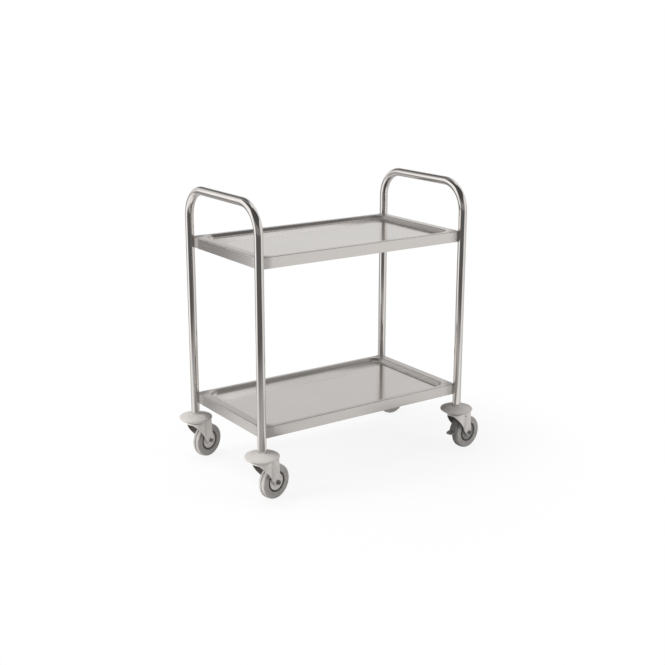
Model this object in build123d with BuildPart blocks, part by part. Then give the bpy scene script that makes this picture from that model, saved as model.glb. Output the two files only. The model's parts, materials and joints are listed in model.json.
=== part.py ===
"""Two-tier serving trolley: two bent tube end frames, two pressed trays and four swivel casters.

Millimetres, +Z up, floor at z = 0. The origin is on the floor, midway between the four legs.
X runs along the trays, and -Y is the long side seen in front.
"""

import os
from math import acos, atan2, cos, degrees, hypot, radians, sin, sqrt

from build123d import *

# End frames
leg_spacing_x = 710.0
leg_spacing_y = 390.0
frame_height = 715.0
tube_diameter = 25.0
tube_wall = 1.2
handle_bend_radius = 84.0

# Trays, with each rim's height above the lower ends of the legs
upper_rim_rise = 560.5
lower_rim_rise = 78.5
tray_inset_x = 3.5
tray_inset_y = 4.0
tray_sheet = 1.0
skirt_depth = 32.0
skirt_return = 8.0
rim_bend_radius = 2.5
end_rim_width = 26.0
side_rim_width = 14.0
dish_depth = 12.0
dish_wall_run = 8.0
dish_corner_radius = 38.0
dish_rim_radius = 3.0
dish_floor_radius = 12.0
notch_clearance = 0.3

# Tray fixings
bracket_sheet = 2.0
bracket_stand_off = 9.0
bracket_bend_radius = 3.0
bracket_tab_length = 16.0
bracket_margin = 6.0
tray_bolt_diameter = 6.0
tray_bolt_across_flats = 10.0
tray_bolt_head_height = 4.0
tray_bolt_reach = 9.0
rivet_nut_wall = 1.5
rivet_nut_flange_width = 0.6
rivet_nut_flange = 0.8
rivet_nut_grip = 9.5
thread_clearance = 0.05
hole_clearance = 0.05
press_clearance = 0.02
running_clearance = 0.05

# Caster wheels
wheel_radius = 51.5
tyre_width = 24.0
tyre_side_gap = 2.0
tyre_bead_inset = 5.0
tyre_bead_run = 1.5
tyre_shoulder_radius = 5.0
tread_crown = 0.8
tread_groove_width = 3.5
tread_groove_depth = 1.5
hub_radius = 25.0
hub_seat_step = 2.0
hub_groove_width = 4.0
hub_groove_depth = 5.0
hub_face_inset = 1.5
hub_boss_radius = 11.0
hub_end_play = 0.5
bush_wall = 2.0
bush_length = 12.0
sleeve_diameter = 12.0

# Caster forks
trail = 45.0
fork_sheet = 2.5
crown_radius = 27.5
crown_gap = 17.5
crown_lip = 2.0
crown_edge_radius = 3.0
crown_blend_radius = 3.0
fork_tip_radius = 10.5
fork_front_start = 24.0
fork_back_overhang = 5.0
axle_diameter = 8.0
axle_across_flats = 13.0
axle_nut_height = 6.5
axle_head_height = 5.3
axle_thread_end = 2.5

# Caster heads and bumpers
king_bolt_diameter = 12.0
king_bolt_across_flats = 19.0
king_bolt_head_height = 7.5
king_bolt_engagement = 30.0
king_bolt_play = 0.3
ball_diameter = 6.0
ball_count = 9
ball_pitch_radius = 15.5
race_depth = 0.8
cup_sheet = 2.6
cup_radius = 22.0
cup_skirt_sheet = 1.3
cup_skirt_gap = 1.0
bumper_radius = 50.0
bumper_rise = 15.0
bumper_dome = 13.0
bumper_edge_radius = 4.0
bumper_bulge = 2.0
bumper_lip_width = 2.5
bumper_under_gap = 3.0
bumper_foot_width = 5.0
bumper_cavity_gap = 1.5
socket_depth = 11.0
plug_length = 35.0

# Brakes on the two casters at the right end, angles about the wheel's axle
brake_sheet = 2.5
brake_width = 25.0
brake_tyre_gap = 7.0
brake_pin_angle = 106.6
brake_pin_diameter = 4.0
brake_pin_head_radius = 3.2
brake_pin_head_height = 1.4
brake_knuckle_wall = 2.0
brake_band_end_angle = 165.0
brake_bend_radius = 4.0
brake_pad_thickness = 2.5
brake_pad_width = 20.0
brake_pad_start_angle = 142.0
brake_pad_end_angle = 162.0
pedal_length = 18.0
pedal_slope_angle = -12.0
pedal_corner_radius = 8.0

# Legs as signs along X and Y, and each caster's rest angle from +X towards +Y
casters = {
    "front_left": (-1, -1, 13.0),
    "back_left": (-1, 1, 17.0),
    "front_right": (1, -1, 7.0),
    "back_right": (1, 1, 2.0),
}
braked = ("front_right", "back_right")

# Distance under which two places count as one
same_place = 0.01

# Places worked out from the driving dimensions
leg_x = leg_spacing_x / 2
leg_y = leg_spacing_y / 2
tube_radius = tube_diameter / 2
tube_bore_radius = tube_radius - tube_wall
tray_half_x = leg_x - tray_inset_x
tray_half_y = leg_y - tray_inset_y
tray_inner_x = tray_half_x - tray_sheet
tray_inner_y = tray_half_y - tray_sheet
dish_half_x = tray_half_x - end_rim_width
dish_half_y = tray_half_y - side_rim_width
tray_bolt_drop = skirt_depth / 2
tray_bolt_seat = tube_radius + bracket_stand_off
rivet_nut_bore_radius = tray_bolt_diameter / 2 + thread_clearance
rivet_nut_radius = rivet_nut_bore_radius + rivet_nut_wall

tyre_half = tyre_width / 2
cheek_inner = tyre_half + tyre_side_gap
cheek_outer = cheek_inner + fork_sheet
hub_half = cheek_inner - hub_end_play
crown_under_z = 2 * wheel_radius + crown_gap
crown_top_z = crown_under_z + fork_sheet
ball_radius = ball_diameter / 2
race_radius = ball_radius + running_clearance
ball_z = crown_top_z + ball_radius - race_depth
cup_under_z = ball_z + ball_radius - race_depth
cup_top_z = cup_under_z + cup_sheet
bumper_mid_z = crown_top_z + bumper_rise
bumper_top_z = bumper_mid_z + bumper_dome
tube_end_z = bumper_top_z - socket_depth
handle_axis_z = tube_end_z + frame_height - tube_radius
upper_rim_z = tube_end_z + upper_rim_rise
lower_rim_z = tube_end_z + lower_rim_rise
king_bolt_radius = king_bolt_diameter / 2
axle_radius = axle_diameter / 2
sleeve_radius = sleeve_diameter / 2
bush_bore_radius = sleeve_radius + running_clearance
bush_radius = bush_bore_radius + bush_wall
hub_seat_radius = hub_radius + hub_seat_step
axle = (trail, wheel_radius)
wheel_axis = Axis((trail, 0, wheel_radius), (0, 1, 0))
brake_inner_radius = wheel_radius + brake_tyre_gap
brake_middle_radius = brake_inner_radius + brake_sheet / 2
brake_pin_radius = brake_pin_diameter / 2
brake_pin = (
    trail + brake_middle_radius * cos(radians(brake_pin_angle)),
    wheel_radius + brake_middle_radius * sin(radians(brake_pin_angle)),
)


def save(piece, name):
    """Label a finished piece and write its STEP file."""
    piece.label = name
    export_step(piece, f"parts/{name}.step")


def leg_signs():
    """The four legs as pairs of signs along X and Y."""
    return [(sign_x, sign_y) for sign_x, sign_y, _ in casters.values()]


def bolt_plane(sign_x, sign_y, rim_z, distance):
    """Plane across a tray bolt, a distance from the leg's axis, facing the tray's middle."""
    reach = distance / sqrt(2)
    origin = (sign_x * (leg_x - reach), sign_y * (leg_y - reach), rim_z - tray_bolt_drop)
    return Plane(origin=origin, x_dir=(0, 0, 1), z_dir=(-sign_x, -sign_y, 0))


def bolt_places():
    """Every tray bolt as its leg's two signs and its tray's rim height."""
    return [(*signs, rim_z) for rim_z in (upper_rim_z, lower_rim_z) for signs in leg_signs()]


def flat_edges(shape, z):
    """Edges that lie in one horizontal plane."""
    return shape.edges().filter_by(
        lambda edge: edge.bounding_box().size.Z < same_place and abs(edge.center().Z - z) < same_place
    )


def near_dish(edge):
    """True for an edge of the dish, false for one of the skirt."""
    middle_x = (dish_half_x + tray_half_x) / 2
    middle_y = (dish_half_y + tray_half_y) / 2
    return abs(edge.center().X) < middle_x and abs(edge.center().Y) < middle_y


def make_end_frame(side):
    """One inverted U of round tube, with a hole for each rivet nut."""
    with BuildPart() as end_frame:
        with BuildLine(Plane.YZ.offset(side * leg_x)):
            path = FilletPolyline(
                (-leg_y, tube_end_z),
                (-leg_y, handle_axis_z),
                (leg_y, handle_axis_z),
                (leg_y, tube_end_z),
                radius=handle_bend_radius,
            )
        with BuildSketch(Plane(origin=path @ 0, z_dir=path % 0)):
            Circle(tube_radius)
            Circle(tube_bore_radius, mode=Mode.SUBTRACT)
        sweep()
        for sign_x, sign_y, rim_z in bolt_places():
            if sign_x == side:
                with BuildSketch(bolt_plane(sign_x, sign_y, rim_z, 0)):
                    Circle(rivet_nut_radius + hole_clearance)
                extrude(amount=tube_diameter, mode=Mode.SUBTRACT)
    return end_frame.part


def make_tray():
    """A pressed tray with its rim at z = 0: rim, sloped dish, skirt and inward return."""
    taper = degrees(atan2(dish_wall_run, dish_depth))
    wall_offset = tray_sheet / cos(radians(taper))
    with BuildPart() as hollow:
        with BuildSketch(Plane.XY.offset(-tray_sheet)):
            Rectangle(2 * tray_inner_x, 2 * tray_inner_y)
        extrude(amount=-(skirt_depth - 2 * tray_sheet))
        fillet(hollow.faces().sort_by(Axis.Z)[-1].edges(), rim_bend_radius - tray_sheet)
        with BuildSketch():
            RectangleRounded(
                2 * (dish_half_x + wall_offset),
                2 * (dish_half_y + wall_offset),
                dish_corner_radius + wall_offset,
            )
        extrude(
            amount=dish_depth + tray_sheet, dir=(0, 0, -1), taper=taper, mode=Mode.SUBTRACT
        )
        fillet(flat_edges(hollow, -dish_depth - tray_sheet), dish_floor_radius + tray_sheet)
        rim_edges = flat_edges(hollow, -tray_sheet).filter_by(near_dish)
        fillet(rim_edges, dish_rim_radius - tray_sheet)
    with BuildPart() as dish:
        with BuildSketch():
            RectangleRounded(2 * dish_half_x, 2 * dish_half_y, dish_corner_radius)
        extrude(amount=dish_depth, dir=(0, 0, -1), taper=taper)
        fillet(flat_edges(dish, -dish_depth), dish_floor_radius)
    with BuildPart() as tray:
        with BuildSketch():
            Rectangle(2 * tray_half_x, 2 * tray_half_y)
        extrude(amount=-skirt_depth)
        fillet(tray.faces().sort_by(Axis.Z)[-1].edges(), rim_bend_radius)
        with BuildSketch(Plane.XY.offset(-skirt_depth)):
            Rectangle(2 * (tray_inner_x - skirt_return), 2 * (tray_inner_y - skirt_return))
        extrude(amount=tray_sheet, mode=Mode.SUBTRACT)
        add(hollow.part, mode=Mode.SUBTRACT)
        add(dish.part, mode=Mode.SUBTRACT)
        fillet(flat_edges(tray, 0).filter_by(near_dish), dish_rim_radius)
        with BuildSketch():
            with GridLocations(leg_spacing_x, leg_spacing_y, 2, 2):
                Circle(tube_radius + notch_clearance)
        extrude(amount=-skirt_depth, mode=Mode.SUBTRACT)
    return tray.part


def make_tray_brackets():
    """Folded corner brackets inside the skirts: a diagonal web and two tabs each."""
    side_x = tray_inner_x - bracket_sheet / 2
    side_y = tray_inner_y - bracket_sheet / 2
    web_sum = leg_x + leg_y - tray_bolt_seat * sqrt(2)
    fold_x = web_sum - side_y
    fold_y = web_sum - side_x
    path = (
        (side_x, fold_y - bracket_tab_length),
        (side_x, fold_y),
        (fold_x, side_y),
        (fold_x - bracket_tab_length, side_y),
    )
    with BuildPart() as brackets:
        for sign_x, sign_y, rim_z in bolt_places():
            with BuildSketch(Plane.XY.offset(rim_z - skirt_depth + bracket_margin)):
                with BuildLine():
                    FilletPolyline(
                        *[(sign_x * x, sign_y * y) for x, y in path], radius=bracket_bend_radius
                    )
                trace(line_width=bracket_sheet)
            extrude(amount=skirt_depth - 2 * bracket_margin)
            with BuildSketch(bolt_plane(sign_x, sign_y, rim_z, tray_bolt_seat)):
                Circle(tray_bolt_diameter / 2 + hole_clearance)
            extrude(amount=bracket_sheet, both=True, mode=Mode.SUBTRACT)
    return brackets.part


def make_tray_bolts():
    """Hex bolts through the bracket webs into the rivet nuts, one per tray and leg."""
    head_seat = tray_bolt_seat + bracket_sheet / 2
    tip = tube_radius - tray_bolt_reach
    with BuildPart() as bolts:
        for place in bolt_places():
            with BuildSketch(bolt_plane(*place, head_seat)):
                RegularPolygon(tray_bolt_across_flats / 2, 6, major_radius=False)
            extrude(amount=tray_bolt_head_height)
            with BuildSketch(bolt_plane(*place, tip)):
                Circle(tray_bolt_diameter / 2)
            extrude(amount=head_seat - tip)
    return bolts.part


def make_rivet_nuts():
    """Flanged rivet nuts set in the legs, one per tray and leg."""
    with BuildPart() as nuts:
        for place in bolt_places():
            with BuildSketch(bolt_plane(*place, tube_radius)):
                Circle(rivet_nut_radius + rivet_nut_flange_width)
                Circle(rivet_nut_bore_radius, mode=Mode.SUBTRACT)
            extrude(amount=rivet_nut_flange)
            with BuildSketch(bolt_plane(*place, tube_radius)):
                Circle(rivet_nut_radius)
                Circle(rivet_nut_bore_radius, mode=Mode.SUBTRACT)
            extrude(amount=-rivet_nut_grip)
    return nuts.part


def make_leg_plugs():
    """Threaded plugs in the bottom ends of the legs."""
    with BuildPart() as plugs:
        with BuildSketch(Plane.XY.offset(tube_end_z)):
            with GridLocations(leg_spacing_x, leg_spacing_y, 2, 2):
                Circle(tube_bore_radius - press_clearance)
                Circle(king_bolt_radius + thread_clearance, mode=Mode.SUBTRACT)
        extrude(amount=plug_length)
    return plugs.part


def bulge_point(start, end, bulge):
    """The point a given distance to the left of a line's middle."""
    run = end[0] - start[0]
    rise = end[1] - start[1]
    share = bulge / hypot(run, rise)
    return ((start[0] + end[0]) / 2 - rise * share, (start[1] + end[1]) / 2 + run * share)


def make_bumper():
    """Saucer-shaped bumper: domed top with a socket for the leg, round rim, hollow underside."""
    socket = tube_radius + press_clearance
    bore = king_bolt_radius + hole_clearance
    cavity = cup_radius + bumper_cavity_gap
    foot_z = crown_top_z + bumper_under_gap
    lip = (socket + bumper_lip_width, bumper_top_z)
    rim_top = (bumper_radius - bumper_edge_radius, bumper_mid_z + bumper_edge_radius)
    rim_under = (bumper_radius - bumper_edge_radius, bumper_mid_z - bumper_edge_radius)
    foot = (cavity + bumper_foot_width, foot_z)
    with BuildPart() as bumper:
        with BuildSketch(Plane.XZ):
            with BuildLine():
                Polyline((socket, tube_end_z), (socket, bumper_top_z), lip)
                ThreePointArc(lip, bulge_point(lip, rim_top, bumper_bulge), rim_top)
                ThreePointArc(rim_top, (bumper_radius, bumper_mid_z), rim_under)
                ThreePointArc(rim_under, bulge_point(rim_under, foot, bumper_bulge), foot)
                Polyline(
                    foot,
                    (cavity, foot_z),
                    (cavity, cup_top_z),
                    (bore, cup_top_z),
                    (bore, tube_end_z),
                    (socket, tube_end_z),
                )
            make_face()
        revolve(axis=Axis.Z)
    return bumper.part


def make_king_bolt():
    """Hex bolt from under the fork's crown up into the leg's plug."""
    head_top_z = crown_under_z - king_bolt_play
    with BuildPart() as bolt:
        with BuildSketch(Plane.XY.offset(head_top_z)):
            RegularPolygon(king_bolt_across_flats / 2, 6, major_radius=False)
        extrude(amount=-king_bolt_head_height)
        with BuildSketch(Plane.XY.offset(head_top_z)):
            Circle(king_bolt_radius)
        extrude(amount=tube_end_z + king_bolt_engagement - head_top_z)
    return bolt.part


def make_bearing_cup():
    """Pressed upper race with a skirt that shields the balls."""
    bore = king_bolt_radius + hole_clearance
    skirt_z = crown_top_z + cup_skirt_gap
    with BuildPart() as cup:
        with BuildSketch(Plane.XZ):
            with BuildLine():
                Polyline(
                    (bore, cup_under_z),
                    (bore, cup_top_z),
                    (cup_radius, cup_top_z),
                    (cup_radius, skirt_z),
                    (cup_radius - cup_skirt_sheet, skirt_z),
                    (cup_radius - cup_skirt_sheet, cup_under_z),
                    close=True,
                )
            make_face()
            with Locations((ball_pitch_radius, ball_z)):
                Circle(race_radius, mode=Mode.SUBTRACT)
        revolve(axis=Axis.Z)
    return cup.part


def make_bearing_balls():
    """The ring of balls between the crown and the cup."""
    with BuildPart() as balls:
        with Locations((0, 0, ball_z)):
            with PolarLocations(ball_pitch_radius, ball_count):
                Sphere(ball_radius)
    return balls.part


def touch_point(point, centre, radius, side):
    """Where a line from a point touches a circle, left of the sight line for side 1, right for -1."""
    run = point[0] - centre[0]
    rise = point[1] - centre[1]
    angle = atan2(rise, run) + side * acos(radius / hypot(run, rise))
    return (centre[0] + radius * cos(angle), centre[1] + radius * sin(angle))


def crown_plan(z, inset, back_x):
    """The fork in plan at one height: a round crown that narrows to two parallel cheeks."""
    radius = crown_radius - inset
    half_width = cheek_outer - inset
    crease_x = sqrt(radius**2 - half_width**2)
    with BuildSketch(Plane.XY.offset(z)) as plan:
        Circle(radius)
        with Locations((back_x / 2, 0)):
            Rectangle(back_x, 2 * half_width)
        creases = plan.vertices().filter_by(lambda vertex: abs(vertex.X - crease_x) < same_place)
        fillet(creases, crown_blend_radius + inset)
    return plan.sketch


def make_fork(with_brake):
    """Pressed fork: a shell of the plan, trimmed to the side view of crown and cheeks."""
    lip_z = crown_under_z - crown_lip
    low_z = wheel_radius - fork_tip_radius
    above_z = crown_top_z + fork_sheet
    ahead_x = -crown_radius - fork_sheet
    back_x = trail + 2 * fork_tip_radius
    front_top = (-fork_front_start, lip_z)
    back_top = (trail + fork_back_overhang, above_z)
    front_touch = touch_point(front_top, axle, fork_tip_radius, 1)
    back_touch = touch_point(back_top, axle, fork_tip_radius, -1)
    outer_plan = crown_plan(low_z, 0, back_x)
    inner_plan = crown_plan(low_z, fork_sheet, back_x + fork_sheet)
    with BuildPart() as fork:
        extrude(outer_plan, amount=crown_top_z - low_z)
        crown_edges = fork.faces().sort_by(Axis.Z)[-1].edges()
        fillet(crown_edges.sort_by(Axis.X)[:-1], crown_edge_radius)
        extrude(inner_plan, amount=crown_under_z - low_z, mode=Mode.SUBTRACT)
        with BuildSketch(Plane.XZ):
            with BuildLine():
                Polyline(
                    front_touch,
                    front_top,
                    (ahead_x, lip_z),
                    (ahead_x, above_z),
                    back_top,
                    back_touch,
                )
                ThreePointArc(back_touch, (trail, low_z), front_touch)
            make_face()
        extrude(amount=2 * crown_radius, both=True, mode=Mode.INTERSECT)
        with BuildSketch(Plane.XY.offset(crown_under_z)):
            Circle(king_bolt_radius + running_clearance)
        extrude(amount=fork_sheet, mode=Mode.SUBTRACT)
        with BuildSketch(Plane.XZ):
            with Locations((ball_pitch_radius, ball_z)):
                Circle(race_radius)
        revolve(axis=Axis.Z, mode=Mode.SUBTRACT)
        with BuildSketch(Plane.XZ):
            with Locations(axle):
                Circle(axle_radius + hole_clearance)
            if with_brake:
                with Locations(brake_pin):
                    Circle(brake_pin_radius + hole_clearance)
        extrude(amount=2 * crown_radius, both=True, mode=Mode.SUBTRACT)
    return fork.part


def across_plane(place, offset):
    """Plane across the fork at a place in its side view, an offset towards +Y."""
    return Plane(origin=(place[0], offset, place[1]), x_dir=(1, 0, 0), z_dir=(0, 1, 0))


def make_axle_bolt():
    """Hex bolt through both cheeks, with its head on the +Y side."""
    thread_end = cheek_outer + axle_nut_height + axle_thread_end
    with BuildPart() as bolt:
        with BuildSketch(across_plane(axle, cheek_outer)):
            RegularPolygon(axle_across_flats / 2, 6, major_radius=False)
        extrude(amount=axle_head_height)
        with BuildSketch(across_plane(axle, cheek_outer)):
            Circle(axle_radius)
        extrude(amount=-(cheek_outer + thread_end))
    return bolt.part


def make_axle_nut():
    """Hex nut on the cheek at the -Y side."""
    with BuildPart() as nut:
        with BuildSketch(across_plane(axle, -cheek_outer)):
            RegularPolygon(axle_across_flats / 2, 6, major_radius=False)
            Circle(axle_radius + thread_clearance, mode=Mode.SUBTRACT)
        extrude(amount=-axle_nut_height)
    return nut.part


def make_axle_sleeve():
    """Spacer tube clamped between the cheeks, on which the wheel turns."""
    with BuildPart() as sleeve:
        with BuildSketch(across_plane(axle, 0)):
            Circle(sleeve_radius)
            Circle(axle_radius + hole_clearance, mode=Mode.SUBTRACT)
        extrude(amount=cheek_inner, both=True)
    return sleeve.part


def make_bushes():
    """Two plain bushes in the ends of the hub."""
    with BuildPart() as bushes:
        for start in (-hub_half, hub_half - bush_length):
            with BuildSketch(across_plane(axle, start)):
                Circle(bush_radius)
                Circle(bush_bore_radius, mode=Mode.SUBTRACT)
            extrude(amount=bush_length)
    return bushes.part


def make_hub():
    """Moulded wheel centre: boss, disc faces, and a seat for the tyre behind a groove."""
    face_half = tyre_half - hub_face_inset
    seat_half = face_half - hub_groove_depth
    bore_z = wheel_radius + bush_radius + press_clearance
    boss_z = wheel_radius + hub_boss_radius
    with BuildPart() as hub:
        with BuildSketch(Plane.YZ.offset(trail)):
            with BuildLine():
                Polyline(
                    (0, bore_z),
                    (hub_half, bore_z),
                    (hub_half, boss_z),
                    (face_half, boss_z + hub_face_inset),
                    (face_half, wheel_radius + hub_radius),
                    (seat_half, wheel_radius + hub_radius),
                    (seat_half, wheel_radius + hub_seat_radius),
                    (0, wheel_radius + hub_seat_radius),
                    close=True,
                )
            make_face()
            mirror(about=Plane.YZ)
        revolve(axis=wheel_axis)
    return hub.part


def make_tyre():
    """Solid rubber tyre: narrow bead, rounded shoulders, and a slightly crowned tread with a groove."""
    bead_half = tyre_half - tyre_bead_inset
    seat_z = wheel_radius + hub_seat_radius + press_clearance
    bead_z = wheel_radius + hub_radius + hub_groove_width
    groove_half = tread_groove_width / 2
    groove_z = 2 * wheel_radius - tread_groove_depth
    top = (groove_half, 2 * wheel_radius)
    tread_edge = (tyre_half - tyre_shoulder_radius, top[1] - tread_crown)
    shoulder = (tyre_half, tread_edge[1] - tyre_shoulder_radius)
    with BuildPart() as tyre:
        with BuildSketch(Plane.YZ.offset(trail)):
            with BuildLine():
                Polyline(
                    top,
                    (groove_half, groove_z),
                    (0, groove_z),
                    (0, seat_z),
                    (bead_half, seat_z),
                    (bead_half, bead_z),
                    (tyre_half, bead_z + tyre_bead_run),
                    shoulder,
                )
                TangentArc(shoulder, tread_edge, tangent=(0, 1))
                TangentArc(top, tread_edge, tangent=(1, 0))
            make_face()
            mirror(about=Plane.YZ)
        revolve(axis=wheel_axis)
    return tyre.part


def make_brake_pedal():
    """Curved lever over the front of the tyre, rolled round its pin and bent out to a pedal."""
    knuckle_radius = brake_pin_radius + running_clearance + brake_knuckle_wall
    bend_turn = brake_band_end_angle - 90 + pedal_slope_angle
    with BuildPart() as pedal:
        with BuildSketch(Plane.XZ):
            with BuildLine():
                band = CenterArc(
                    axle, brake_middle_radius, brake_pin_angle, brake_band_end_angle - brake_pin_angle
                )
                bend = JernArc(band @ 1, band % 1, brake_bend_radius, -bend_turn)
                Line(bend @ 1, bend @ 1 + bend % 1 * pedal_length)
            trace(line_width=brake_sheet)
            with Locations(brake_pin):
                Circle(knuckle_radius)
                Circle(brake_pin_radius + running_clearance, mode=Mode.SUBTRACT)
        extrude(amount=brake_width / 2, both=True)
        tip_edges = pedal.faces().sort_by(Axis.X)[0].edges().sort_by(Axis.Y)
        fillet([tip_edges[0], tip_edges[-1]], pedal_corner_radius)
    return pedal.part


def make_brake_pad():
    """Rubber pad on the inside of the lever."""
    pad_inner_radius = brake_inner_radius - brake_pad_thickness
    with BuildPart() as pad:
        with BuildSketch(Plane.XZ):
            with BuildLine():
                CenterArc(
                    axle,
                    (brake_inner_radius + pad_inner_radius) / 2,
                    brake_pad_start_angle,
                    brake_pad_end_angle - brake_pad_start_angle,
                )
            trace(line_width=brake_pad_thickness)
        extrude(amount=brake_pad_width / 2, both=True)
    return pad.part


def make_brake_pin():
    """Riveted pin through both cheeks and the lever's knuckle."""
    with BuildPart() as pin:
        with BuildSketch(across_plane(brake_pin, 0)):
            Circle(brake_pin_radius)
        extrude(amount=cheek_outer, both=True)
        for side in (-1, 1):
            with BuildSketch(across_plane(brake_pin, side * cheek_outer)):
                Circle(brake_pin_head_radius)
            extrude(amount=side * brake_pin_head_height)
    return pin.part


os.makedirs("parts", exist_ok=True)

save(make_end_frame(-1), "left_end_frame")
save(make_end_frame(1), "right_end_frame")
tray = make_tray()
save(tray.moved(Location((0, 0, upper_rim_z))), "upper_tray")
save(tray.moved(Location((0, 0, lower_rim_z))), "lower_tray")
save(make_tray_brackets(), "tray_brackets")
save(make_tray_bolts(), "tray_bolts")
save(make_rivet_nuts(), "tray_rivet_nuts")
save(make_leg_plugs(), "leg_plugs")

# Pieces of one caster, with its leg's axis on Z and its wheel trailing towards +X
caster_pieces = {
    "bumper": make_bumper(),
    "bearing_cup": make_bearing_cup(),
    "king_bolt": make_king_bolt(),
    "bearing_balls": make_bearing_balls(),
    "axle_bolt": make_axle_bolt(),
    "axle_nut": make_axle_nut(),
    "axle_sleeve": make_axle_sleeve(),
    "hub": make_hub(),
    "tyre": make_tyre(),
    "bushes": make_bushes(),
}
plain_pieces = {"fork": make_fork(False)}
brake_pieces = {
    "fork": make_fork(True),
    "brake_pedal": make_brake_pedal(),
    "brake_pad": make_brake_pad(),
    "brake_pin": make_brake_pin(),
}
for corner, (sign_x, sign_y, rest_angle) in casters.items():
    place = Location((sign_x * leg_x, sign_y * leg_y, 0), (0, 0, rest_angle))
    extra_pieces = brake_pieces if corner in braked else plain_pieces
    for name, piece in {**caster_pieces, **extra_pieces}.items():
        save(piece.moved(place), f"{corner}_{name}")
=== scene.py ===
"""Looks of a two-tier serving trolley: finishes, moulded caster pieces, fasteners, studio and camera."""

import json
from math import atan2, cos, degrees, pi, radians, sin, tan, tau

import bmesh
import bpy
from mathutils import Matrix, Vector


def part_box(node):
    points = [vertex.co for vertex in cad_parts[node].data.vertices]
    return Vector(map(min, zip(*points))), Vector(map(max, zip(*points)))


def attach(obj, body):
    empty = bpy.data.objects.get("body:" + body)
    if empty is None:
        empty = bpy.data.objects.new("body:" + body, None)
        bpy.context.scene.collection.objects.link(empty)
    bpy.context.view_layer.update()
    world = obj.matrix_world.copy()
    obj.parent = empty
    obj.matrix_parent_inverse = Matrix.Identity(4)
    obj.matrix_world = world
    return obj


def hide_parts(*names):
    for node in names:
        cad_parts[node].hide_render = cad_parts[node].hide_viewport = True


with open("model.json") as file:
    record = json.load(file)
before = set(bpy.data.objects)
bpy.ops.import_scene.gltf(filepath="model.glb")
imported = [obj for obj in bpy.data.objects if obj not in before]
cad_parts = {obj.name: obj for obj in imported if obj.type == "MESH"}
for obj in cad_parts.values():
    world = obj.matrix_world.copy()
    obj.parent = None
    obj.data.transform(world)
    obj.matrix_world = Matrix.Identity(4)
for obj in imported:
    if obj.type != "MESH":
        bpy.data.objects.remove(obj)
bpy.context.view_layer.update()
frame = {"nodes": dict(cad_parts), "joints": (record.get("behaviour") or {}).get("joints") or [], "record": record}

# Places read from the frame, in metres
corners = ("front_left", "back_left", "front_right", "back_right")
braked_corners = ("front_right", "back_right")
joint_points = {joint["name"]: Vector(joint["pos_m"]) for joint in frame["joints"]}
handle_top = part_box("left_end_frame")[1].z
upper_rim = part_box("upper_tray")[1].z
lower_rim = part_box("lower_tray")[1].z
leg_offsets = Vector((abs(axis) for axis in joint_points["front_left_swivel_turn"]))

# Camera, set where the photograph was taken from
view_target = Vector((0.01788, 0.0, 0.3925))
view_distance = 3.451
view_azimuth = radians(-34.71)
view_elevation = radians(15.8)
view_roll = radians(0.13)
view_lens = 61.38
sensor_width = 36.0

# Sizes of the detailed pieces in millimetres
mm = 0.001
wheel_radius = 51.5
tyre_half_width = 12.0
bead_radius = 29.0
shoulder_ring = 44.6
seat_radius = 27.0
hub_radius = 25.0
hub_half_length = 13.5
boss_radius = 11.9
cheek_outside = 16.5
rim_radius = 49.9
axle_bolt_past_cheek = 9.0
tray_bolt_seat = 22.5
tray_bolt_drop = 16.0
tray_bolt_tip = 3.5

# Hex heads and nuts: width of the round faces as a share of the width across flats, and height of the
# round face on the seat in millimetres
face_share = 0.95
washer_face = 0.3

# Mesh settings, the lengths in metres
turn_steps = 96
hexagon_steps = 24
merge_distance = 0.000004
crease_angle = radians(38)

# Marks on the trays, the painted sheen, wall shade and end highlight among them, in metres from the trolley's
# middle, and on the pedals in metres from the floor: where each mark is gone, and where it is full
strip_front = (0.115, 0.140)
strip_back = (0.170, 0.164)
strip_end = (0.316, 0.308)
sheen_front = (0.075, 0.128)
sheen_back = (0.166, 0.160)
sheen_left = (-0.316, -0.308)
sheen_right = (0.24, 0.10)
wall_shade_side = (0.179, 0.178)
highlight_end = (0.323, 0.320)
trodden_height = (0.0675, 0.0645)


def turned_towards(azimuth, elevation):
    """Unit vector from the trolley towards a viewer or lamp."""
    level = cos(elevation)
    return Vector((sin(azimuth) * level, -cos(azimuth) * level, sin(elevation)))


# Node tools for the finishes
def add_node(tree, kind, inputs=None, **settings):
    """A shader node with its settings made, its inputs linked or given a value."""
    node = tree.nodes.new("ShaderNode" + kind)
    for name, value in settings.items():
        setattr(node, name, value)
    for name, value in (inputs or {}).items():
        fill_socket(tree, node.inputs[name], value)
    return node


def fill_socket(tree, socket, value):
    """Link a socket to another node's output, or give it a plain value."""
    if isinstance(value, bpy.types.NodeSocket):
        tree.links.new(value, socket)
    else:
        socket.default_value = value


def calculate(tree, operation, *values):
    """The output of a Math node."""
    node = add_node(tree, "Math", operation=operation)
    for socket, value in zip(node.inputs, values):
        fill_socket(tree, socket, value)
    return node.outputs[0]


def raised(tree, base, mask, amount):
    """A value raised by an amount where a mask is 1."""
    return calculate(tree, "MULTIPLY_ADD", mask, amount, base)


def overlap(tree, first, *others):
    """A mask that is 1 only where all of the given masks are."""
    for other in others:
        first = calculate(tree, "MULTIPLY", first, other)
    return first


def ramp_between(tree, value, low, high, start=0.0, end=1.0):
    """A value eased from start to end while it passes from low to high."""
    inputs = {"Value": value, "From Min": low, "From Max": high, "To Min": start, "To Max": end}
    return add_node(tree, "MapRange", inputs, interpolation_type="SMOOTHSTEP").outputs["Result"]


def band_between(tree, value, low, high, soft):
    """A mask that is 1 between two values and fades out over a soft edge."""
    rise = ramp_between(tree, value, low - soft, low)
    fall = ramp_between(tree, value, high, high + soft, 1.0, 0.0)
    return overlap(tree, rise, fall)


def blend_colours(tree, share, first, second):
    """The colour between two colours at a share."""
    node = add_node(tree, "Mix", data_type="RGBA")
    fill_socket(tree, node.inputs[0], share)
    fill_socket(tree, node.inputs[6], first)
    fill_socket(tree, node.inputs[7], second)
    return node.outputs[2]


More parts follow.
